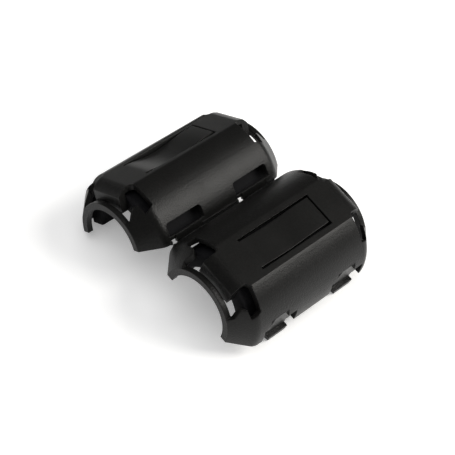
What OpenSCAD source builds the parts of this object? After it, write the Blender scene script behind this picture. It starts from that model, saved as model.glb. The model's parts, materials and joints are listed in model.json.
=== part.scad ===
// Clip-on ferrite, opened out and standing on its edges with both backs up.
// X runs across the two halves, Y along the cable and Z up. The catch half is at -X and the near end at -Y.
// Each half is modelled with its bore axis on Y and its parting plane at Z = 0, then swung to its place.

/* [Case] */
// Diameter of the closed case across its round sides
body_d = 23.8; // [20:0.1:28]
// Length of the case along the cable
body_l = 36.6; // [34:0.1:44]
// Depth of the flat back below the round of the case
back_cut = 1; // [0.7:0.05:1.4]
// Thickness of the case wall
wall = 1.2; // [1.1:0.05:1.4]
// Gap left under the edge of each half at the parting plane
part_gap = 0.05; // [0.02:0.01:0.1]
// Angle between the two parting faces as the case stands
open_angle = 140; // [100:1:170]

/* [Ends] */
// Length of each tapered end
taper_l = 3.9; // [3.6:0.1:4.4]
// Radius of the rounded edge between the body and each taper
taper_round = 2.2; // [1:0.1:3.2]
// Thickness of the wall of each tapered end
taper_wall = 0.85; // [0.7:0.05:1.1]
// Width of the collar at each end face
collar_w = 1.4; // [1:0.05:1.7]
// Thickness of each collar along the cable
collar_t = 1.2; // [0.8:0.05:1.4]
// Clearance of the cable opening in each collar round the core's bore
opening_clear = 0.25; // [0.1:0.05:0.4]
// Angle above the parting plane where the end windows begin
window_angle = 41; // [36:1:46]
// Reach of the end windows from the end face
window_reach = 5.1; // [4.9:0.05:5.4]

/* [Fingers] */
// Width of the finger that bridges the windows at each end
finger_w = 7.7; // [6:0.1:8]
// Slot between each finger and its collar
finger_slot = 0.55; // [0.4:0.05:0.7]
// Thickness of the finger's downturned face
finger_t = 1.5; // [1.2:0.05:1.7]
// Drop of the downturned face below the flat back
finger_drop = 4.5; // [3.6:0.1:4.8]
// Clearance of the arch in that face round the cable opening
arch_clear = 0.15; // [0.05:0.05:0.4]
// Radius of the window's corners beside the finger's root
finger_fillet = 1; // [0.5:0.05:1.2]
// Length of the finger's sloping nose
nose_l = 2.1; // [1.7:0.05:2.4]
// Fall of the finger's sloping nose
nose_fall = 1.5; // [1.1:0.05:1.8]
// Length of the nose's upper, flatter slope
nose_break_l = 1.25; // [0.9:0.05:1.4]
// Fall of the nose's upper, flatter slope
nose_break_fall = 0.5; // [0.3:0.05:0.7]

/* [Claws] */
// Distance of each claw's foot from the end face
claw_foot = 1.1; // [0.9:0.05:1.5]
// Distance of each claw's tip from the end face
claw_y = 2.4; // [2.2:0.05:2.5]
// Length of each claw's top from its tip to its back edge
claw_top = 0.6; // [0.3:0.05:0.65]
// Rise of each claw's tip above the edge of its window
claw_rise = 1.7; // [1:0.05:2]
// Fall of each claw's top from its tip to its back edge
claw_fall = 0.4; // [0.1:0.05:0.6]
// Distance of the notch behind each claw from the end face
claw_notch_y = 3.2; // [3.1:0.05:3.4]
// Depth of that notch below the edge of its window
claw_notch = 0.75; // [0.4:0.05:1]

/* [Spring tongue] */
// Width of the opening that the tongue stands in
tongue_slot_w = 7.1; // [5.5:0.1:8]
// Length of the opening that the tongue stands in
tongue_slot_l = 17.9; // [14:0.1:20]
// Distance of the tongue's root from the near end face
tongue_root = 9.3; // [7:0.1:11]
// Slit round the tongue
slit = 0.45; // [0.3:0.05:0.7]
// Thickness of the tongue
tongue_t = 1; // [0.8:0.05:1.2]
// Depth of the tongue's inward bow
tongue_dip = 0.7; // [0.4:0.05:0.9]
// Rise of the tongue's free end above the flat back
tongue_tip = 0.15; // [0:0.05:0.3]

/* [Core] */
// Thickness of each half core from its bore to its round
core_wall = 3.1; // [2.4:0.05:3.4]
// Play left between each half core and the far fingers
core_play = 1.2; // [0.2:0.1:2]
// Space between the core and the case wall
core_gap = 1.1; // [0.9:0.05:1.2]
// Clearance where the case holds the core
core_clear = 0.1; // [0.05:0.05:0.2]
// Gap left at the mating face of each half core
face_gap = 0.03; // [0.01:0.01:0.05]
// Chamfer on the core's end edges
core_chamfer = 0.3; // [0.1:0.05:0.5]
// Thickness of the ribs that centre the core
rib_t = 1; // [0.6:0.1:1.4]
// Length of the ribs that centre the core
rib_l = 14; // [8:0.5:16]
// Angle of the centring ribs above the parting plane
rib_angle = 30; // [26:1:40]

/* [Hinge] */
// Distance between the walls of the two halves when laid flat
hinge_gap = 0.7; // [0.65:0.05:0.8]
// Gap between the ledges along the walls that meet beside the straps
ledge_gap = 0.12; // [0.06:0.02:0.2]
// Height of those ledges
ledge_h = 0.8; // [0.5:0.05:0.9]
// Distance between the middles of the two straps
strap_pitch = 17; // [16:0.1:17.4]
// Distance of the straps' common middle from the middle of the case
strap_shift = -0.25; // [-0.6:0.05:0.2]
// Width of each strap along the case
strap_w = 6.4; // [4:0.1:6.8]
// Length of the relief at the near end of each strap
strap_room = 1.1; // [0.4:0.1:1.2]
// Height of that relief in the lips
strap_relief_h = 0.8; // [0.5:0.05:1]
// Thickness of each strap
strap_t = 0.26; // [0.2:0.01:0.28]
// Clearance between a strap and the lips that it joins
strap_clear = 0.02; // [0.01:0.01:0.05]
// Height of the lip that carries each strap
lip_h = 1.5; // [1.3:0.05:1.6]
// Thickness of that lip
lip_t = 0.5; // [0.4:0.05:0.7]
// Length of the window above each strap
hinge_window_l = 8.6; // [8:0.1:8.8]
// Height of the window above each strap
hinge_window_h = 2.5; // [2:0.05:2.8]
// Radius of the upper corners of those windows
hinge_window_r = 0.7; // [0.3:0.05:0.9]

/* [Latch] */
// Distance between the middles of the two hooks
latch_pitch = 17.6; // [17:0.05:18]
// Distance of the hooks' common middle from the middle of the case
latch_shift = 1.35; // [1:0.05:1.6]
// Length of each hook along the case
hook_l = 4.9; // [4.4:0.05:5.2]
// Thickness of each hook's tab
hook_t = 1.15; // [1:0.05:1.25]
// Drop of each hook below the parting plane
hook_drop = 3.2; // [3.1:0.05:3.4]
// Reach of each barb outside its tab
barb = 0.9; // [0.6:0.05:0.95]
// Height of each barb from its tip to its catch face
barb_h = 1.7; // [1.5:0.05:1.75]
// Height of each barb's outer edge above the hook's tip
barb_lift = 0.4; // [0.35:0.05:0.8]
// Draw-in of each hook's ends from its catch face to its tip
hook_chamfer = 0.35; // [0.1:0.05:0.6]
// Clearance between a hook and the faces it slides past
hook_clear = 0.15; // [0.1:0.05:0.25]
// Room beside and above a hook in its catch window
hook_room = 0.4; // [0.3:0.05:0.6]
// Space between each hook and the near edge of its cut-out
hook_slit = 2.5; // [2:0.05:2.7]
// Length of the open notch at the far side of each hook
notch_l = 0.8; // [0.6:0.05:1]
// Height of the cut-out in the wall round each hook
notch_h = 4.75; // [4.4:0.05:5]
// Length of the lower step at the near side of the cut-out
notch_step_l = 1.45; // [1:0.05:2]
// Length of the lower step at the far side of the cut-out
notch_far_l = 2.25; // [1.8:0.05:2.6]
// Height of those steps
notch_step_h = 3.1; // [2.8:0.05:3.4]
// Drop of the tab's shoulder below the parting plane in the open notch
shoulder_drop = 0.5; // [0.2:0.05:0.7]
// Length of the shoulder that is let into the wall
shoulder_in = 0.4; // [0.3:0.05:0.6]

/* [Hidden] */

$fn = 180;
case_colour = "#2e2d2b";
ferrite_colour = "#47484a";

// Radii
body_r = body_d / 2;
inner_r = body_r - wall;
core_r = inner_r - core_gap;
bore_r = core_r - core_wall;
opening_r = bore_r + opening_clear;
collar_r = opening_r + collar_w;
back_h = body_r - back_cut;

// Tapered ends
taper_angle = atan((body_r - collar_r) / taper_l);
taper_inset = taper_wall / cos(taper_angle);
collar_step_r = collar_r - taper_inset + collar_t * tan(taper_angle);
taper_inner_l = (inner_r - collar_r + taper_inset) / tan(taper_angle);

// Rounded edge of each taper, as radius and distance from the end face
round_steps = 6;
round_start = taper_l + taper_round * tan(taper_angle / 2);
taper_edge = [
    for (i = [0 : round_steps])
        let (a = taper_angle * (i / round_steps - 1))
            [body_r, round_start] + taper_round * [cos(a) - 1, sin(a)]
];

// The core lies against the near fingers, and its flat clears the tongue
finger_face = collar_t + finger_slot;
core_l = body_l - 2 * (finger_face + finger_t) - core_clear - core_play;
core_y = finger_face + finger_t + core_clear + (core_l - body_l) / 2;
core_flat_h = back_h - tongue_t - tongue_dip - core_clear;

// Hooks, across the case from the bore axis
hook_in = core_r + hook_clear;
hook_out = hook_in + hook_t;
hook_tip = hook_out - hook_clear;
hook_top = max(sqrt(inner_r * inner_r - hook_in * hook_in), notch_h) + hook_clear;
catch_lip_in = hook_out + hook_clear;
catch_lip_h = hook_drop - barb_h - hook_clear;
catch_top = hook_drop + hook_room;

// Hinge, and the tilt at which both outer edges touch the ground
hinge_r = body_r + hinge_gap / 2;
fold = 180 - open_angle;
catch_arm = hinge_r + body_r;
latch_arm = hinge_r + hook_tip;
catch_tilt = atan2(
    latch_arm * sin(fold) + hook_drop * cos(fold) + part_gap,
    catch_arm + latch_arm * cos(fold) - hook_drop * sin(fold)
);
latch_tilt = fold - catch_tilt;
ridge_z = catch_arm * sin(catch_tilt) - part_gap * cos(catch_tilt);
ridge_x = hinge_r * (cos(catch_tilt) - cos(latch_tilt)) / 2;

// Cutters reach this far past what they cut
reach = body_d;
over = 0.2;

// Depth of the tongue's bow at a share s of its length, deepest two fifths along and level at both ends
bow_steps = 32;
bow_peak = pow(0.4, 2) * pow(0.6, 3);
function bow(s) = tongue_dip * pow(s, 2) * pow(1 - s, 3) / bow_peak - tongue_tip * pow(s, 4);

// Carries a YZ outline across X
module across(width) {
    rotate([90, 0, 90])
        linear_extrude(height = width, center = true)
            children();
}

// Carries an XZ outline along Y
module along(length) {
    rotate([90, 0, 0])
        linear_extrude(height = length, center = true)
            children();
}

// Turns an outline of radius and length about the bore axis, above the parting plane
module half_turn(outline) {
    rotate([90, 0, 0])
        rotate_extrude(angle = 180)
            polygon(outline);
}

// Repeats a near-end feature at the far end
module both_ends() {
    children();
    mirror([0, 1, 0]) children();
}

// Repeats a feature at both sides of the case
module both_sides() {
    children();
    mirror([1, 0, 0]) children();
}

// Repeats a feature at both places of a pair along Y
module pair(pitch) {
    for (y = [-pitch / 2, pitch / 2])
        translate([0, y, 0]) children();
}

// Everything between two heights above the parting plane
module slab(low, high) {
    translate([-reach, -body_l, low])
        cube([2 * reach, 2 * body_l, high - low]);
}

// A block standing on a face at x, with its middle at y
module block(x, y, z, size) {
    translate([x, y - size[1] / 2, z]) cube(size);
}

// Outside of one half: a barrel with tapered ends and a flat back
module half_outside() {
    half = body_l / 2;
    near = [for (p = taper_edge) [p[0], p[1] - half]];
    far = [for (i = [round_steps : -1 : 0]) [near[i][0], -near[i][1]]];
    intersection() {
        half_turn(concat(
            [[0, -half], [collar_r, -half]], near,
            far, [[collar_r, half], [0, half]]
        ));
        slab(part_gap, back_h);
    }
}

// Inside of one half, with the cable openings
module half_inside() {
    collar = body_l / 2 - collar_t;
    full = body_l / 2 - taper_inner_l;
    intersection() {
        half_turn([
            [0, -collar], [collar_step_r, -collar], [inner_r, -full],
            [inner_r, full], [collar_step_r, collar], [0, collar]
        ]);
        slab(-over, back_h - wall);
    }
    along(body_l + 2 * over) circle(r = opening_r);
}

// Plain wall of one half before its openings are cut
module half_wall() {
    difference() {
        half_outside();
        half_inside();
    }
}

// Everything above the window's edge on the +X side, where a claw stands and a notch is cut behind it
module window_side() {
    back = claw_y + claw_top;
    rotate([0, -window_angle, 0])
        translate([0, -body_l / 2, 0])
            across(2 * reach)
                polygon([
                    [-over, reach], [-over, 0], [claw_foot, 0],
                    [claw_y, claw_rise], [back, claw_rise - claw_fall],
                    [claw_notch_y, -claw_notch], [window_reach, 0],
                    [window_reach, reach]
                ]);
}

// What rounds the window's corner at the +X side of the near finger's root
module finger_corner() {
    translate([finger_w / 2, window_reach - finger_fillet - body_l / 2, 0])
        linear_extrude(height = reach)
            difference() {
                square(finger_fillet);
                translate([finger_fillet, 0]) circle(r = finger_fillet);
            }
}

// Opening over the near taper, from one window edge to the other, that leaves the collar standing
module end_window() {
    difference() {
        intersection() {
            window_side();
            mirror([1, 0, 0]) window_side();
        }
        translate([0, (collar_t - body_l - over) / 2, 0])
            along(collar_t + over)
                circle(r = collar_r);
        both_sides() finger_corner();
    }
}

// Finger that carries the flat back over the near taper and turns down in front of the core
module finger() {
    root = window_reach + over;
    low = back_h - finger_drop;
    translate([0, -body_l / 2, 0])
        difference() {
            across(finger_w)
                polygon([
                    [root, back_h],
                    [finger_face + nose_l, back_h],
                    [finger_face + nose_l - nose_break_l, back_h - nose_break_fall],
                    [finger_face, back_h - nose_fall],
                    [finger_face, low],
                    [finger_face + finger_t, low],
                    [finger_face + finger_t, back_h - wall],
                    [root, back_h - wall]
                ]);
            along(body_l) circle(r = opening_r + arch_clear);
        }
}

// Opening in the flat back for the tongue
module tongue_opening() {
    block(-tongue_slot_w / 2, tongue_root + (tongue_slot_l - body_l) / 2, back_h - wall - over,
        [tongue_slot_w, tongue_slot_l, wall + 2 * over]);
}

// Spring tongue, rooted at the near end and bowed in towards the core
module tongue() {
    length = tongue_slot_l - slit;
    top = [for (i = [0 : bow_steps]) [i / bow_steps * length, back_h - bow(i / bow_steps)]];
    bottom = [for (i = [bow_steps : -1 : 0]) top[i] - [0, tongue_t]];
    root = [[-over, back_h - tongue_t], [-over, back_h]];
    translate([0, tongue_root - body_l / 2, 0])
        across(tongue_slot_w - 2 * slit)
            polygon(concat(top, bottom, root));
}

// Ribs along the inside of the wall that centre the core
module core_rib() {
    rotate([0, -rib_angle, 0])
        translate([core_r + core_clear, -rib_l / 2, -rib_t / 2])
            cube([core_gap - core_clear + wall / 2, rib_l, rib_t]);
}

// Repeats a feature at both straps
module at_straps() {
    translate([0, strap_shift, 0]) pair(strap_pitch) children();
}

// Windows above the straps on the +X side, with round upper corners, that leave a thin lip with a relief at its near end
module hinge_windows() {
    spread = hinge_window_l - 2 * hinge_window_r;
    at_straps() {
        block(0, 0, -over, [body_r - lip_t, hinge_window_l, lip_h + 2 * over]);
        block(0, -(strap_w + strap_room) / 2, -over, [reach, strap_room, strap_relief_h + over]);
        block(0, 0, lip_h, [reach, hinge_window_l, hinge_window_h - hinge_window_r]);
        block(0, 0, lip_h, [reach, spread, hinge_window_h]);
        pair(spread)
            translate([0, 0, lip_h + hinge_window_h - hinge_window_r])
                rotate([0, 90, 0])
                    cylinder(r = hinge_window_r, h = reach);
    }
}

// Ledge along the foot of the +X wall, left out at the straps, that all but closes the gap at the hinge
module hinge_ledge() {
    length = body_l - 2 * round_start;
    difference() {
        block(body_r - wall / 2, 0, part_gap, [(wall + hinge_gap - ledge_gap) / 2, length, ledge_h - part_gap]);
        at_straps()
            block(0, (strap_clear - strap_room) / 2, -over, [reach, strap_w + strap_room + strap_clear, reach]);
    }
}

// What both halves share, with the hinge on the +X side
module half_case() {
    difference() {
        half_wall();
        both_ends() end_window();
        tongue_opening();
        hinge_windows();
    }
    hinge_ledge();
    both_ends() finger();
    tongue();
    both_sides() core_rib();
}

// Repeats a feature at both hooks
module at_hooks() {
    translate([0, latch_shift, 0]) pair(latch_pitch) children();
}

// Cut-outs in the outer wall, on the +X side, that the hooks stand in
module hook_cutouts() {
    near = -hook_l / 2 - hook_slit;
    far = hook_l / 2 + notch_l;
    at_hooks()
        translate([reach / 2, 0, 0])
            across(reach)
                polygon([
                    [near, -over], [near, notch_step_h], [near + notch_step_l, notch_step_h],
                    [near + notch_step_l, notch_h], [far - notch_far_l, notch_h],
                    [far - notch_far_l, notch_step_h], [far, notch_step_h], [far, -over]
                ]);
}

// Shoulder that carries a hook's tab across the open notch to the wall
module hook_shoulder() {
    length = hook_l / 2 + notch_l + shoulder_in;
    block(hook_in, length / 2, -shoulder_drop, [hook_t, length, shoulder_drop + notch_step_h + shoulder_in]);
}

// Latch hooks on the +X side: tabs that rise into the wall, with barbs turned outward
module hooks() {
    catch_z = barb_h - hook_drop;
    half = hook_l / 2;
    at_hooks() {
        hook_shoulder();
        intersection() {
            along(hook_l)
                polygon([
                    [hook_in, hook_top],
                    [hook_tip, hook_top],
                    [hook_out, hook_top - 2 * hook_clear],
                    [hook_out, catch_z],
                    [hook_out + barb, catch_z],
                    [hook_out + barb, barb_lift - hook_drop],
                    [hook_tip, -hook_drop],
                    [hook_in + hook_clear, -hook_drop],
                    [hook_in, hook_clear - hook_drop]
                ]);
            translate([hook_in, 0, 0])
                across(reach)
                    polygon([
                        [-half, hook_top], [-half, catch_z],
                        [hook_chamfer - half, -hook_drop], [half - hook_chamfer, -hook_drop],
                        [half, catch_z], [half, hook_top]
                    ]);
        }
    }
}

// Catch windows in the outer wall, on the +X side, with the relief behind their lips
module catch_windows() {
    length = hook_l + 2 * hook_room;
    shoulder = notch_l + shoulder_in;
    at_hooks() {
        block(0, shoulder / 2, -over, [catch_lip_in, length + shoulder, over + shoulder_drop + hook_clear]);
        block(0, 0, catch_lip_h, [reach, length, catch_top - catch_lip_h]);
        block(0, 0, -over, [catch_lip_in, length, catch_top + over]);
    }
}

// Half core: a half ring with chamfered ends and a flat under the tongue
module half_core() {
    half = core_l / 2;
    bevel = half - core_chamfer;
    translate([0, core_y, 0])
        intersection() {
            half_turn([
                [bore_r, -bevel], [bore_r + core_chamfer, -half],
                [core_r - core_chamfer, -half], [core_r, -bevel],
                [core_r, bevel], [core_r - core_chamfer, half],
                [bore_r + core_chamfer, half], [bore_r, bevel]
            ]);
            slab(face_gap, core_flat_h);
        }
}

// Swings the catch half from the hinge on its +X side to where it stands
module place_catch() {
    translate([ridge_x, 0, ridge_z])
        rotate([0, -catch_tilt, 0])
            translate([-hinge_r, 0, 0])
                children();
}

// Swings the latch half from the hinge on its -X side to where it stands
module place_latch() {
    translate([ridge_x, 0, ridge_z])
        rotate([0, latch_tilt, 0])
            translate([hinge_r, 0, 0])
                children();
}

// Leaf of a strap, on the face of the lip at the +X side
module strap_leaf() {
    intersection() {
        difference() {
            along(strap_w) circle(r = body_r + strap_t);
            along(strap_w + over) circle(r = body_r + strap_clear);
        }
        block(0, 0, 0, [reach, strap_w, lip_h]);
    }
}

// Living-hinge strap: a leaf on each half's lip, joined by the fold on the hinge axis
module strap(y) {
    translate([0, y, 0]) {
        place_catch() strap_leaf();
        place_latch() mirror([1, 0, 0]) strap_leaf();
        translate([ridge_x, 0, ridge_z])
            along(strap_w)
                circle(r = hinge_gap / 2 - 2 * strap_clear);
    }
}

module catch_shell() {
    color(case_colour)
        place_catch()
            difference() {
                half_case();
                mirror([1, 0, 0]) catch_windows();
            }
}

module latch_shell() {
    color(case_colour)
        place_latch() {
            difference() {
                mirror([1, 0, 0]) half_case();
                hook_cutouts();
            }
            hooks();
        }
}

module catch_core() {
    color(ferrite_colour) place_catch() half_core();
}

module latch_core() {
    color(ferrite_colour) place_latch() half_core();
}

module hinge_strap_front() {
    color(case_colour) strap(strap_shift - strap_pitch / 2);
}

module hinge_strap_rear() {
    color(case_colour) strap(strap_shift + strap_pitch / 2);
}

catch_shell();
latch_shell();
catch_core();
latch_core();
hinge_strap_front();
hinge_strap_rear();
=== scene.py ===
"""Looks of an open clip-on ferrite: a black moulded case with two half cores, standing on a white table."""

import json
import logging
import math
from dataclasses import dataclass
from enum import Enum

import bmesh
import bpy
import numpy as np
from mathutils import Matrix, Vector

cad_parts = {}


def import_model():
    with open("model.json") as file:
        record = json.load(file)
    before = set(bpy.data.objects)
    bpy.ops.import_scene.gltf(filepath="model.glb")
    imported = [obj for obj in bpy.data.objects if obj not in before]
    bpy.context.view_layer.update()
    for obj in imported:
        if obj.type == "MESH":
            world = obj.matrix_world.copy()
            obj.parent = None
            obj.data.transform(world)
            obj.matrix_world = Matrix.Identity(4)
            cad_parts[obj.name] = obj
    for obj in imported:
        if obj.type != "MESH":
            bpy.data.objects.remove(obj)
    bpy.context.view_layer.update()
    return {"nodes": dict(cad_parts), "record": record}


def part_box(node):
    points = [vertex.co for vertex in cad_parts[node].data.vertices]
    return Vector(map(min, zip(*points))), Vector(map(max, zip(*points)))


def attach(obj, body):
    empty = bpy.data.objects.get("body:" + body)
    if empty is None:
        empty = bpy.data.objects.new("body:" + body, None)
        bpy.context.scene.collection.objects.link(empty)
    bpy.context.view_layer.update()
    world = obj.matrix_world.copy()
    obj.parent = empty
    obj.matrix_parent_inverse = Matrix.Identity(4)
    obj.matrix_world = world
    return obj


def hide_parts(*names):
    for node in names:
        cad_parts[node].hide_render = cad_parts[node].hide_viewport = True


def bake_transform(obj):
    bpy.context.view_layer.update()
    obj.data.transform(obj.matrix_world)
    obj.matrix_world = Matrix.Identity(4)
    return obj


MM = 0.001
LOG = logging.getLogger("clip_on_ferrite")


class Half(Enum):
    """The two halves of the case, by the names that the frame gives them."""

    CATCH = "catch"
    LATCH = "latch"

    @property
    def body(self) -> str:
        """Name of the moving body that this half is."""
        return f"{self.value}_half"

    @property
    def shell(self) -> str:
        """Name of the half's case."""
        return f"{self.value}_shell"

    @property
    def core(self) -> str:
        """Name of the half's ferrite."""
        return f"{self.value}_core"

    @property
    def bore(self) -> str:
        """Name of the mount on the half's bore axis."""
        return f"{self.value}_bore"


class Slot(Enum):
    """The record's material slots."""

    CASE = "case"
    FERRITE = "ferrite"


@dataclass(frozen=True)
class HalfFrame:
    """Where one half stands: its bore axis, the way to the hinge and the way up, in metres."""

    bore: np.ndarray
    hinge: np.ndarray
    inward: np.ndarray
    up: np.ndarray

    @classmethod
    def of(cls, record: dict, half: Half) -> "HalfFrame":
        """Reads a half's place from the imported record.

        Args:
            record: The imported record.
            half: The half to place.

        Returns:
            The frame of that half, with the parting plane through both its points.
        """
        mounts = {m["name"]: m for m in record["mounts"]}
        bore = np.array(mounts[half.bore]["pos_m"], float)
        hinge = np.array(record["behaviour"]["joints"][0]["pos_m"], float)
        bore[1] = hinge[1]
        inward = (hinge - bore) / np.linalg.norm(hinge - bore)
        up = np.array([-inward[2], 0.0, inward[0]])
        return cls(bore, hinge, inward, up if up[2] > 0 else -up)


class Tree:
    """A material's node tree, with short calls to add and join nodes."""

    # Most of a noise lies between these values.
    NOISE_LOW, NOISE_HIGH = 0.3, 0.7
    # Sockets of a colour mix, which shares its names between several types of value.
    MIX_DARK, MIX_LIGHT, MIX_RESULT = 6, 7, 2

    def __init__(self, name: str) -> None:
        """Starts a material with a Principled shader.

        Args:
            name: Name of the material.
        """
        self.material = bpy.data.materials.new(name)
        self.material.use_nodes = True
        self.nodes = self.material.node_tree.nodes
        self.links = self.material.node_tree.links
        self.shader = self.nodes["Principled BSDF"]

    def add(self, kind: str, inputs: dict | None = None, **settings: object) -> bpy.types.Node:
        """Adds a node.

        Args:
            kind: Type name of the node.
            inputs: Values or sockets by input name; a socket is joined and a value is set.
            **settings: Properties of the node.

        Returns:
            The new node.
        """
        node = self.nodes.new(kind)
        for key, value in settings.items():
            setattr(node, key, value)
        self.feed(node, inputs or {})
        return node

    def feed(self, node: bpy.types.Node, inputs: dict) -> None:
        """Sets or joins a node's inputs.

        Args:
            node: The node to feed.
            inputs: Values or sockets by input name.
        """
        for key, value in inputs.items():
            if isinstance(value, bpy.types.NodeSocket):
                self.links.new(value, node.inputs[key])
            else:
                node.inputs[key].default_value = value

    def noise(self, where: bpy.types.NodeSocket, size: float, detail: float = 2.0) -> bpy.types.NodeSocket:
        """Adds a noise whose blotches are about the given size.

        Args:
            where: Coordinates to read.
            size: Size of a blotch, in metres.
            detail: Octaves of finer noise.

        Returns:
            The noise's value socket, from 0 to 1.
        """
        found = self.add("ShaderNodeTexNoise", {"Vector": where, "Scale": 1 / size, "Detail": detail})
        return found.outputs["Fac"]

    def spread(self, value: bpy.types.NodeSocket, low: float, high: float) -> bpy.types.NodeSocket:
        """Spreads the middle of a noise over a range of values.

        Args:
            value: Noise to spread.
            low: Value given for the darker blotches.
            high: Value given for the lighter blotches.

        Returns:
            The spread value's socket.
        """
        spread = self.add("ShaderNodeMapRange", {
            "Value": value,
            "From Min": self.NOISE_LOW,
            "From Max": self.NOISE_HIGH,
            "To Min": low,
            "To Max": high,
        })
        return spread.outputs["Result"]

    def shade(self, fac: bpy.types.NodeSocket, dark: tuple, light: tuple) -> bpy.types.NodeSocket:
        """Mixes two colours.

        Args:
            fac: Share of the lighter colour.
            dark: Colour at 0.
            light: Colour at 1.

        Returns:
            The mixed colour's socket.
        """
        mix = self.add("ShaderNodeMix", data_type="RGBA")
        self.links.new(fac, mix.inputs["Factor"])
        mix.inputs[self.MIX_DARK].default_value = (*dark, 1)
        mix.inputs[self.MIX_LIGHT].default_value = (*light, 1)
        return mix.outputs[self.MIX_RESULT]

    def larger(self, one: bpy.types.NodeSocket, other: bpy.types.NodeSocket) -> bpy.types.NodeSocket:
        """Takes the larger of two values.

        Args:
            one: A value.
            other: Another value.

        Returns:
            The larger value's socket.
        """
        return self.add("ShaderNodeMath", {0: one, 1: other}, operation="MAXIMUM").outputs[0]

    def bump(self, height: bpy.types.NodeSocket, depth: float, strength: float,
             under: bpy.types.NodeSocket | None = None) -> bpy.types.NodeSocket:
        """Adds a bump.

        Args:
            height: Height of the surface, from 0 to 1.
            depth: Depth of the texture, in metres.
            strength: Share of the bump that shows.
            under: Normal of a bump that lies under this one.

        Returns:
            The normal's socket.
        """
        inputs = {"Height": height, "Distance": depth, "Strength": strength}
        if under is not None:
            inputs["Normal"] = under
        return self.add("ShaderNodeBump", inputs).outputs["Normal"]


@dataclass(frozen=True)
class MouldedNylon:
    """Black nylon, matte from a spark-eroded mould."""

    name: str = "black_nylon"
    dark: tuple[float, float, float] = (0.0050, 0.0050, 0.0048)
    light: tuple[float, float, float] = (0.0090, 0.0089, 0.0085)
    rough_low: float = 0.34
    rough_high: float = 0.40
    specular: float = 0.2
    flow_size: float = 5 * MM
    grain_size: float = 0.28 * MM
    grain_depth: float = 0.065 * MM
    grain_strength: float = 0.8
    speck_size: float = 0.12 * MM
    speck_depth: float = 0.015 * MM

    @classmethod
    def smooth(cls) -> "MouldedNylon":
        """The same plastic from the mould's smoother floor, with little grain."""
        return cls("smooth_nylon", rough_low=0.28, rough_high=0.33, grain_depth=0.012 * MM, speck_depth=0.006 * MM)

    def material(self) -> bpy.types.Material:
        """Makes the material: spark grain over faint flow marks.

        Returns:
            The material.
        """
        tree = Tree(self.name)
        where = tree.add("ShaderNodeTexCoord").outputs["Object"]
        flow = tree.noise(where, self.flow_size, detail=3)
        grain = tree.noise(where, self.grain_size, detail=2)
        specks = tree.noise(where, self.speck_size, detail=1)
        fine = tree.bump(specks, self.speck_depth, self.grain_strength)
        tree.feed(tree.shader, {
            "Base Color": tree.shade(tree.spread(grain, 0, 1), self.dark, self.light),
            "Roughness": tree.spread(flow, self.rough_low, self.rough_high),
            "Normal": tree.bump(grain, self.grain_depth, self.grain_strength, fine),
            "Specular IOR Level": self.specular,
        })
        return tree.material


@dataclass(frozen=True)
class SinteredFerrite:
    """Grey sintered ferrite with ground faces and open pores."""

    name: str = "sintered_ferrite"
    dark: tuple[float, float, float] = (0.006, 0.006, 0.007)
    light: tuple[float, float, float] = (0.010, 0.010, 0.011)
    rough_low: float = 0.7
    rough_high: float = 0.85
    specular: float = 0.12
    mottle_size: float = 1.6 * MM
    pore_size: float = 0.22 * MM
    pore_depth: float = 0.04 * MM
    pore_strength: float = 0.5

    def material(self) -> bpy.types.Material:
        """Makes the material: pores and mottle over a ground surface.

        Returns:
            The material.
        """
        tree = Tree(self.name)
        where = tree.add("ShaderNodeTexCoord").outputs["Object"]
        mottle = tree.noise(where, self.mottle_size, detail=4)
        cells = tree.add("ShaderNodeTexVoronoi", {"Vector": where, "Scale": 1 / self.pore_size})
        tree.feed(tree.shader, {
            "Base Color": tree.shade(tree.spread(mottle, 0, 1), self.dark, self.light),
            "Roughness": tree.spread(mottle, self.rough_low, self.rough_high),
            "Normal": tree.bump(cells.outputs["Distance"], self.pore_depth, self.pore_strength),
            "Specular IOR Level": self.specular,
        })
        return tree.material


@dataclass(frozen=True)
class PaleTable:
    """Plain white table and backdrop."""

    name: str = "white_table"
    colour: tuple[float, float, float] = (0.97, 0.97, 0.97)
    glow: float = 0.3

    def material(self) -> bpy.types.Material:
        """Makes the material: matte and even, and a little lighter where the camera or a reflection sees it.

        Returns:
            The material.
        """
        tree = Tree(self.name)
        path = tree.add("ShaderNodeLightPath").outputs
        seen = tree.larger(path["Is Camera Ray"], tree.larger(path["Is Glossy Ray"], path["Is Transmission Ray"]))
        glow = tree.add("ShaderNodeMath", {0: seen, 1: self.glow}, operation="MULTIPLY")
        tree.feed(tree.shader, {
            "Base Color": (*self.colour, 1),
            "Roughness": 1.0,
            "Specular IOR Level": 0.0,
            "Emission Color": (1, 1, 1, 1),
            "Emission Strength": glow.outputs[0],
        })
        return tree.material


def add_object(name: str, mesh: bpy.types.Mesh) -> bpy.types.Object:
    """Puts a mesh into the scene at the origin.

    Args:
        name: Name of the object.
        mesh: Its mesh.

    Returns:
        The object.
    """
    piece = bpy.data.objects.new(name, mesh)
    bpy.context.scene.collection.objects.link(piece)
    return piece


def grid_faces(rows: int, columns: int, closed: bool) -> np.ndarray:
    """Quads between neighbouring rows and columns of a grid of points.

    Args:
        rows: Count of rows.
        columns: Count of columns.
        closed: Whether the last row joins the first.

    Returns:
        Point numbers of each quad, one quad to a row.
    """
    r, c = np.meshgrid(np.arange(rows if closed else rows - 1), np.arange(columns - 1), indexing="ij")
    after = (r + 1) % rows
    quads = np.stack([r * columns + c, after * columns + c, after * columns + c + 1, r * columns + c + 1], -1)
    return quads.reshape(-1, 4)


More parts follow.
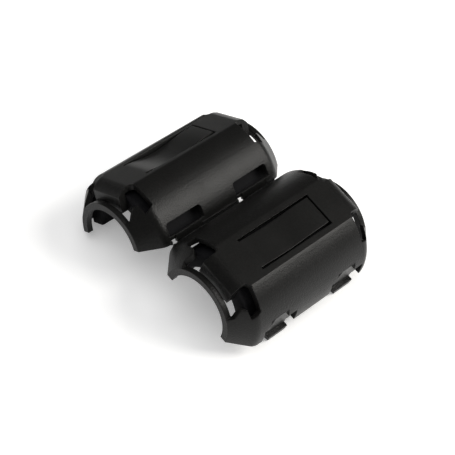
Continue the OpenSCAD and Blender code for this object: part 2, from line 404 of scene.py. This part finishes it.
def mesh_of(name: str, points: np.ndarray, quads: np.ndarray) -> bpy.types.Mesh:
    """Makes a smooth mesh from points and quads, with its faces turned outwards.

    Args:
        name: Name of the mesh.
        points: Points, one to a row, in metres.
        quads: Point numbers of each quad.

    Returns:
        The mesh.
    """
    mesh = bpy.data.meshes.new(name)
    mesh.from_pydata(points.reshape(-1, 3).tolist(), [], quads.tolist())
    work = bmesh.new()
    work.from_mesh(mesh)
    bmesh.ops.recalc_face_normals(work, faces=work.faces)
    work.to_mesh(mesh)
    work.free()
    mesh.shade_smooth()
    return mesh


def merged_copy(node: bpy.types.Object, name: str) -> bpy.types.Object:
    """Copies a solid, with its loose triangles welded and its flat faces joined.

    Args:
        node: The solid to copy.
        name: Name of the copy.

    Returns:
        The copy, at the origin.
    """
    weld = 0.002 * MM
    flat = math.radians(0.3)
    work = bmesh.new()
    work.from_mesh(node.data)
    bmesh.ops.remove_doubles(work, verts=work.verts, dist=weld)
    bmesh.ops.dissolve_limit(work, angle_limit=flat, verts=work.verts, edges=work.edges)
    mesh = bpy.data.meshes.new(name)
    work.to_mesh(mesh)
    work.free()
    if "custom_normal" in mesh.attributes:
        mesh.attributes.remove(mesh.attributes["custom_normal"])
    mesh.shade_smooth()
    return add_object(name, mesh)


def shade_evenly(piece: bpy.types.Object) -> None:
    """Lets the large faces of a piece set the shading of the rounded edges between them."""
    normals = piece.modifiers.new("even_shading", "WEIGHTED_NORMAL")
    normals.keep_sharp = False


def face_vectors(mesh: bpy.types.Mesh, key: str) -> np.ndarray:
    """Reads a vector of each face.

    Args:
        mesh: A mesh.
        key: What to read, such as normal or center.

    Returns:
        The vectors, one to a row.
    """
    found = np.empty(len(mesh.polygons) * 3, np.float32)
    mesh.polygons.foreach_get(key, found)
    return found.reshape(-1, 3)


def edge_turns(mesh: bpy.types.Mesh) -> np.ndarray:
    """Angle between the two faces that meet at each edge.

    Args:
        mesh: A mesh.

    Returns:
        The angles in radians, in the order of the edges, with zero at an open edge.
    """
    edge_of = np.empty(len(mesh.loops), np.int32)
    mesh.loops.foreach_get("edge_index", edge_of)
    sides = np.empty(len(mesh.polygons), np.int32)
    mesh.polygons.foreach_get("loop_total", sides)
    normal = face_vectors(mesh, "normal")
    face_of = np.repeat(np.arange(len(sides)), sides)
    order = np.argsort(edge_of, kind="stable")
    edges, first, count = np.unique(edge_of[order], return_index=True, return_counts=True)
    edges, first = edges[count == 2], first[count == 2]
    one, other = normal[face_of[order[first]]], normal[face_of[order[first + 1]]]
    turns = np.zeros(len(mesh.edges))
    turns[edges] = np.arccos(np.clip((one * other).sum(1), -1, 1))
    return turns


def edge_middles(mesh: bpy.types.Mesh) -> np.ndarray:
    """Middle of each edge.

    Args:
        mesh: A mesh.

    Returns:
        The middles, one to a row, in metres and in the order of the edges.
    """
    points = np.empty(len(mesh.vertices) * 3, np.float32)
    mesh.vertices.foreach_get("co", points)
    ends = np.empty(len(mesh.edges) * 2, np.int32)
    mesh.edges.foreach_get("vertices", ends)
    return points.reshape(-1, 3)[ends.reshape(-1, 2)].mean(1)


@dataclass
class CaseHalf:
    """One half of the moulded case, with the small radii that moulding leaves on its edges.

    Attributes:
        half: Which half this is.
        place: Where the half stands.
        back_height: Height of the flat back above the bore's axis.
        back_depth: How far below the back the bowed tongue still counts as back.
        back_turn: How far a face of the back may lean.
        level: How far off the back's height an edge may lie and still be at it.
        sliver_depth: How far below the back the sliver facets beside its creases reach.
        sliver_turn: Most that the wall turns at the edge of a sliver.
        tongue_reach: A distance from the half's middle that is past the tongue.
        crease_radius: Width of the rounding on the creases of the back.
        edge_radius: Width of the rounding on the other edges.
        crease_turn: Least turn of a crease.
        edge_turn: Least turn of another edge that is rounded.
        segments: Facets across a rounding.
    """

    half: Half
    place: HalfFrame
    back_height: float = 10.9 * MM
    back_depth: float = 1.3 * MM
    back_turn: float = math.radians(16)
    level: float = 0.02 * MM
    sliver_depth: float = 0.1 * MM
    sliver_turn: float = math.radians(3)
    tongue_reach: float = 4 * MM
    crease_radius: float = 0.5 * MM
    edge_radius: float = 0.1 * MM
    crease_turn: float = math.radians(20)
    edge_turn: float = math.radians(28)
    segments: int = 3

    def build(self, node: bpy.types.Object) -> bpy.types.Object:
        """Copies the solid and rounds its edges.

        Args:
            node: The half's solid.

        Returns:
            The case half, riding on its body in the solid's place.
        """
        piece = merged_copy(node, f"{self.half.value}_case")
        self.join_slivers(piece.data)
        self.round_edges(piece)
        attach(piece, self.half.body)
        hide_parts(self.half.shell)
        return piece

    def join_slivers(self, mesh: bpy.types.Mesh) -> None:
        """Joins the sliver facets beside the creases to the wall, so that the creases' radius has room.

        Args:
            mesh: Mesh of the case half.
        """
        middle = edge_middles(mesh) - self.place.bore
        depth = self.back_height - middle @ self.place.up
        beside = (depth > self.level) & (depth < self.sliver_depth)
        outside = np.abs(middle @ self.place.inward) > self.tongue_reach
        found = np.flatnonzero(beside & outside & (edge_turns(mesh) < self.sliver_turn))
        work = bmesh.new()
        work.from_mesh(mesh)
        work.edges.ensure_lookup_table()
        bmesh.ops.dissolve_edges(work, edges=[work.edges[i] for i in found], use_verts=True)
        work.to_mesh(mesh)
        work.free()

    def round_edges(self, piece: bpy.types.Object) -> None:
        """Gives the creases of the flat back a wide radius and the other edges a small one.

        Args:
            piece: The case half.
        """
        mesh = piece.data
        turns = edge_turns(mesh)
        height = (edge_middles(mesh) - self.place.bore) @ self.place.up
        at_back = np.abs(height - self.back_height) < self.level
        crease = at_back & (turns > self.crease_turn) & (turns < self.edge_turn)
        small = self.edge_radius / self.crease_radius
        weight = np.where(crease, 1.0, np.where(turns > self.edge_turn, small, 0.0))
        layer = mesh.attributes.new("bevel_weight_edge", "FLOAT", "EDGE")
        layer.data.foreach_set("value", weight.astype(np.float32))
        bevel = piece.modifiers.new("moulded_edges", "BEVEL")
        bevel.limit_method = "WEIGHT"
        bevel.width = self.crease_radius
        bevel.segments = self.segments
        bevel.use_clamp_overlap = False
        bevel.miter_outer = "MITER_ARC"
        shade_evenly(piece)

    def dress(self, piece: bpy.types.Object, grained: bpy.types.Material, smooth: bpy.types.Material) -> None:
        """Gives the case half its plastic: smooth on the flat back and its tongue, grained elsewhere.

        Args:
            piece: The case half.
            grained: Plastic of the round walls.
            smooth: Plastic of the back.
        """
        mesh = piece.data
        mesh.materials.append(grained)
        mesh.materials.append(smooth)
        facing = face_vectors(mesh, "normal") @ self.place.up > math.cos(self.back_turn)
        height = (face_vectors(mesh, "center") - self.place.bore) @ self.place.up
        at_back = facing & (height > self.back_height - self.back_depth)
        mesh.polygons.foreach_set("material_index", at_back.astype(np.int32))


@dataclass
class HalfCore:
    """One half core, ground on its mating faces."""

    half: Half
    edge_radius: float = 0.08 * MM
    edge_turn: float = math.radians(25)
    segments: int = 2

    def build(self, node: bpy.types.Object) -> bpy.types.Object:
        """Copies the solid and breaks its edges.

        Args:
            node: The half core's solid.

        Returns:
            The half core, riding on its body in the solid's place.
        """
        piece = merged_copy(node, f"{self.half.value}_ferrite")
        bevel = piece.modifiers.new("broken_edges", "BEVEL")
        bevel.limit_method = "ANGLE"
        bevel.angle_limit = self.edge_turn
        bevel.width = self.edge_radius
        bevel.segments = self.segments
        bevel.use_clamp_overlap = False
        shade_evenly(piece)
        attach(piece, self.half.body)
        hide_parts(self.half.core)
        return piece

    def dress(self, piece: bpy.types.Object, finish: bpy.types.Material) -> None:
        """Gives the half core its ferrite."""
        piece.data.materials.append(finish)


@dataclass
class HingeStrap:
    """One living-hinge strap: a thin band on the lips of both halves, folded under the hinge axis."""

    node: str
    catch: HalfFrame
    latch: HalfFrame
    thickness: float = 0.24 * MM
    clearance: float = 0.02 * MM
    lip_height: float = 1.5 * MM
    body_radius: float = 11.9 * MM
    leaf_steps: int = 6
    fold_steps: int = 16
    edge_radius: float = 0.05 * MM
    segments: int = 2

    def leaf(self, place: HalfFrame) -> np.ndarray:
        """Middle line of the leaf on one half's lip: an arc about the bore, from the lip's top to the parting plane.

        Args:
            place: The half's frame.

        Returns:
            Points along the leaf, one to a row.
        """
        radius = self.body_radius + self.clearance + self.thickness / 2
        rise = np.linspace(math.asin(self.lip_height / radius), 0, self.leaf_steps)[:, None]
        return place.bore + radius * (np.cos(rise) * place.inward + np.sin(rise) * place.up)

    def middle_line(self) -> np.ndarray:
        """Middle line of the strap: down one leaf, round the hinge axis from below, and up the other leaf.

        Returns:
            Points along the line, one to a row.
        """
        down, up = self.leaf(self.catch), self.leaf(self.latch)[::-1]
        hinge = self.catch.hinge
        start, end = down[-1] - hinge, up[0] - hinge
        first = math.atan2(start[2], start[0]) % (2 * math.pi)
        last = math.atan2(end[2], end[0]) % (2 * math.pi)
        turn = np.linspace(first, last, self.fold_steps + 1)[1:-1, None]
        radius = (np.linalg.norm(start) + np.linalg.norm(end)) / 2
        ahead, upward = np.array([1.0, 0, 0]), np.array([0, 0, 1.0])
        fold = hinge + radius * (np.cos(turn) * ahead + np.sin(turn) * upward)
        return np.concatenate([down, fold, up])

    def build(self, low: Vector, high: Vector) -> bpy.types.Object:
        """Carries the strap's outline along the case: the middle line moved out and in by half the thickness.

        Args:
            low: Lowest corner of the strap's solid.
            high: Highest corner of the strap's solid.

        Returns:
            The strap, curved round the hinge axis between the two halves.
        """
        line = self.middle_line()
        along = np.gradient(line, axis=0)
        along /= np.linalg.norm(along, axis=1, keepdims=True)
        aside = np.stack([along[:, 2], np.zeros(len(along)), -along[:, 0]], 1) * self.thickness / 2
        outline = np.concatenate([line + aside, (line - aside)[::-1]])
        points = np.repeat(outline[:, None], 2, axis=1)
        points[:, 0, 1] = low.y
        points[:, 1, 1] = high.y
        n = len(line)
        side = np.arange(n - 1)
        back = 2 * n - 1 - side
        caps = [2 * np.stack([side, side + 1, back - 1, back], 1) + end for end in (0, 1)]
        quads = np.concatenate([grid_faces(2 * n, 2, True), *caps])
        piece = add_object(self.node.replace("hinge_strap", "strap"), mesh_of(self.node, points, quads))
        bevel = piece.modifiers.new("soft_edges", "BEVEL")
        bevel.limit_method = "ANGLE"
        bevel.width = self.edge_radius
        bevel.segments = self.segments
        shade_evenly(piece)
        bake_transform(piece)
        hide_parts(self.node)
        return piece

    def dress(self, piece: bpy.types.Object, finish: bpy.types.Material) -> None:
        """Gives the strap its plastic."""
        piece.data.materials.append(finish)


@dataclass(frozen=True)
class SoftBox:
    """A square soft lamp that looks at the object."""

    name: str
    way: tuple[float, float, float]
    distance: float
    size: float
    watts: float
    colour: tuple[float, float, float] = (1.0, 1.0, 1.0)
    mirrored: bool = True

    def hang(self) -> None:
        """Hangs the lamp; one that isn't mirrored lights surfaces and leaves no highlight."""
        light = bpy.data.lights.new(self.name, "AREA")
        light.shape = "SQUARE"
        light.size = self.size
        light.energy = self.watts
        light.color = self.colour
        lamp = bpy.data.objects.new(self.name, light)
        lamp.location = Vector(self.way).normalized() * self.distance
        lamp.rotation_euler = (-lamp.location).to_track_quat("-Z", "Y").to_euler()
        lamp.visible_glossy = self.mirrored
        bpy.context.scene.collection.objects.link(lamp)


@dataclass
class Studio:
    """White table and soft light."""

    ring_radii: tuple[float, ...] = (1e-4, 0.1, 0.5, 2.5)
    ring_steps: int = 96
    sky: float = 0.08
    key: SoftBox = SoftBox(
        "key", way=(0.535, 0.53, 0.63), distance=0.75, size=0.42, watts=4.8, colour=(1.0, 0.98, 0.94))
    top: SoftBox = SoftBox(
        "top", way=(-0.1, -0.2, 1.0), distance=1.0, size=1.4, watts=7.5, mirrored=False)

    def table(self) -> bpy.types.Object:
        """Lays the table: rings about the origin, flat on the ground.

        Returns:
            The table, as stage.
        """
        radius = np.array(self.ring_radii)
        turn = np.arange(self.ring_steps)[:, None] * 2 * math.pi / self.ring_steps
        points = np.stack([radius * np.cos(turn), radius * np.sin(turn), np.zeros_like(radius * turn)], -1)
        table = add_object("table", mesh_of("table", points, grid_faces(self.ring_steps, len(radius), True)))
        table.data.materials.append(PaleTable().material())
        return table

    def light(self) -> None:
        """Lights the scene: a dim even sky, a key from behind on the right and a wide plain light from above."""
        world = bpy.data.worlds.new("studio")
        world.use_nodes = True
        sky = world.node_tree.nodes["Background"]
        sky.inputs["Color"].default_value = (1, 1, 1, 1)
        sky.inputs["Strength"].default_value = self.sky
        bpy.context.scene.world = world
        self.key.hang()
        self.top.hang()


@dataclass
class Viewpoint:
    """Camera at the photograph's viewing angle."""

    azimuth: float = math.radians(40.677)
    elevation: float = math.radians(45.846)
    roll: float = math.radians(7.063)
    distance: float = 289.596 * MM
    lens_mm: float = 121.890
    sensor_mm: float = 36.0
    near: float = 1 * MM
    target: tuple[float, float, float] = (1.182 * MM, -0.407 * MM, 6.952 * MM)

    def place(self) -> bpy.types.Object:
        """Sets up the camera.

        Returns:
            The camera, which the scene then uses.
        """
        flat = math.cos(self.elevation)
        back = Vector((math.sin(self.azimuth) * flat, -math.cos(self.azimuth) * flat, math.sin(self.elevation)))
        right = Vector((math.cos(self.azimuth), math.sin(self.azimuth), 0))
        up = back.cross(right)
        c, s = math.cos(self.roll), math.sin(self.roll)
        turn = Matrix((c * right + s * up, c * up - s * right, back)).transposed()
        data = bpy.data.cameras.new("camera")
        data.lens = self.lens_mm
        data.sensor_width = self.sensor_mm
        data.clip_start = self.near
        camera = bpy.data.objects.new("camera", data)
        camera.matrix_world = Matrix.Translation(Vector(self.target) + self.distance * back) @ turn.to_4x4()
        bpy.context.scene.collection.objects.link(camera)
        bpy.context.scene.camera = camera
        return camera


def main() -> None:
    """Builds the object round its frame, then the table, light and camera."""
    logging.basicConfig(level=logging.INFO, format="%(name)s: %(message)s")
    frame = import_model()
    nodes, record = frame["nodes"], frame["record"]
    nylon, ferrite = MouldedNylon().material(), SinteredFerrite().material()
    smooth = MouldedNylon.smooth().material()
    places = {half: HalfFrame.of(record, half) for half in Half}
    for half in Half:
        case = CaseHalf(half, places[half])
        piece = case.build(nodes[half.shell])
        case.dress(piece, nylon, smooth)
        LOG.info("%s on %s", piece.name, half.body)
        core = HalfCore(half)
        piece = core.build(nodes[half.core])
        core.dress(piece, ferrite)
        LOG.info("%s on %s", piece.name, half.body)
    for end in ("front", "rear"):
        strap = HingeStrap(f"hinge_strap_{end}", places[Half.CATCH], places[Half.LATCH])
        piece = strap.build(*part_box(strap.node))
        strap.dress(piece, nylon)
        LOG.info("%s between both halves", piece.name)
    studio = Studio()
    studio.table()
    studio.light()
    Viewpoint().place()
    bpy.context.scene.view_settings.view_transform = "Standard"


if __name__ == "__main__":
    main()
